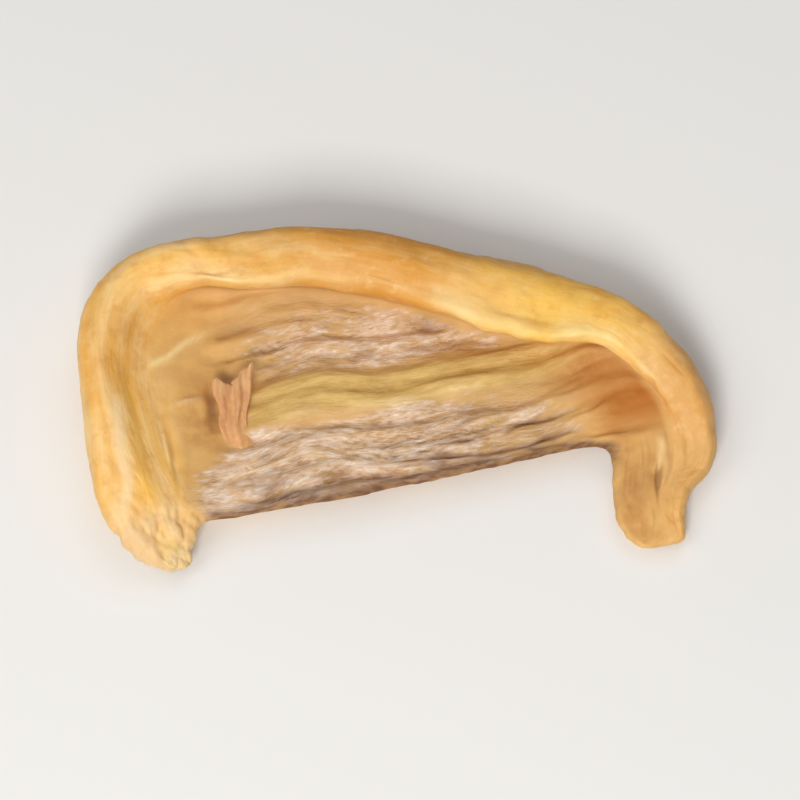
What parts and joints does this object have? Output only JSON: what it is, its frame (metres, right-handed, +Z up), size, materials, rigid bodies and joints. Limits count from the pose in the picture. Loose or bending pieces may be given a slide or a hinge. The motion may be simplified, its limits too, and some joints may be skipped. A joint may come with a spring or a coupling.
{
  "type": "dried persimmon slice",
  "caption": "Half-oval slice of dried persimmon flesh with a thick rolled lip, a thin ribbed sunken face, a short foot, a drooping flap and a torn scrap standing on the face.",
  "frame": {"origin": "under the middle of the slice, on the surface it rests on", "axes": "+X along the core and its fibres, from the stem end to the blossom end, +Y from the core edge to the rolled rim, +Z up out of the sunken cut face"},
  "size_m": [0.0572, 0.037, 0.0092],
  "materials": {
    "dried_flesh": "satin"
  },
  "bodies": {
    "root": {"persimmon_slice": "dried_flesh"}
  },
  "joints": []
}
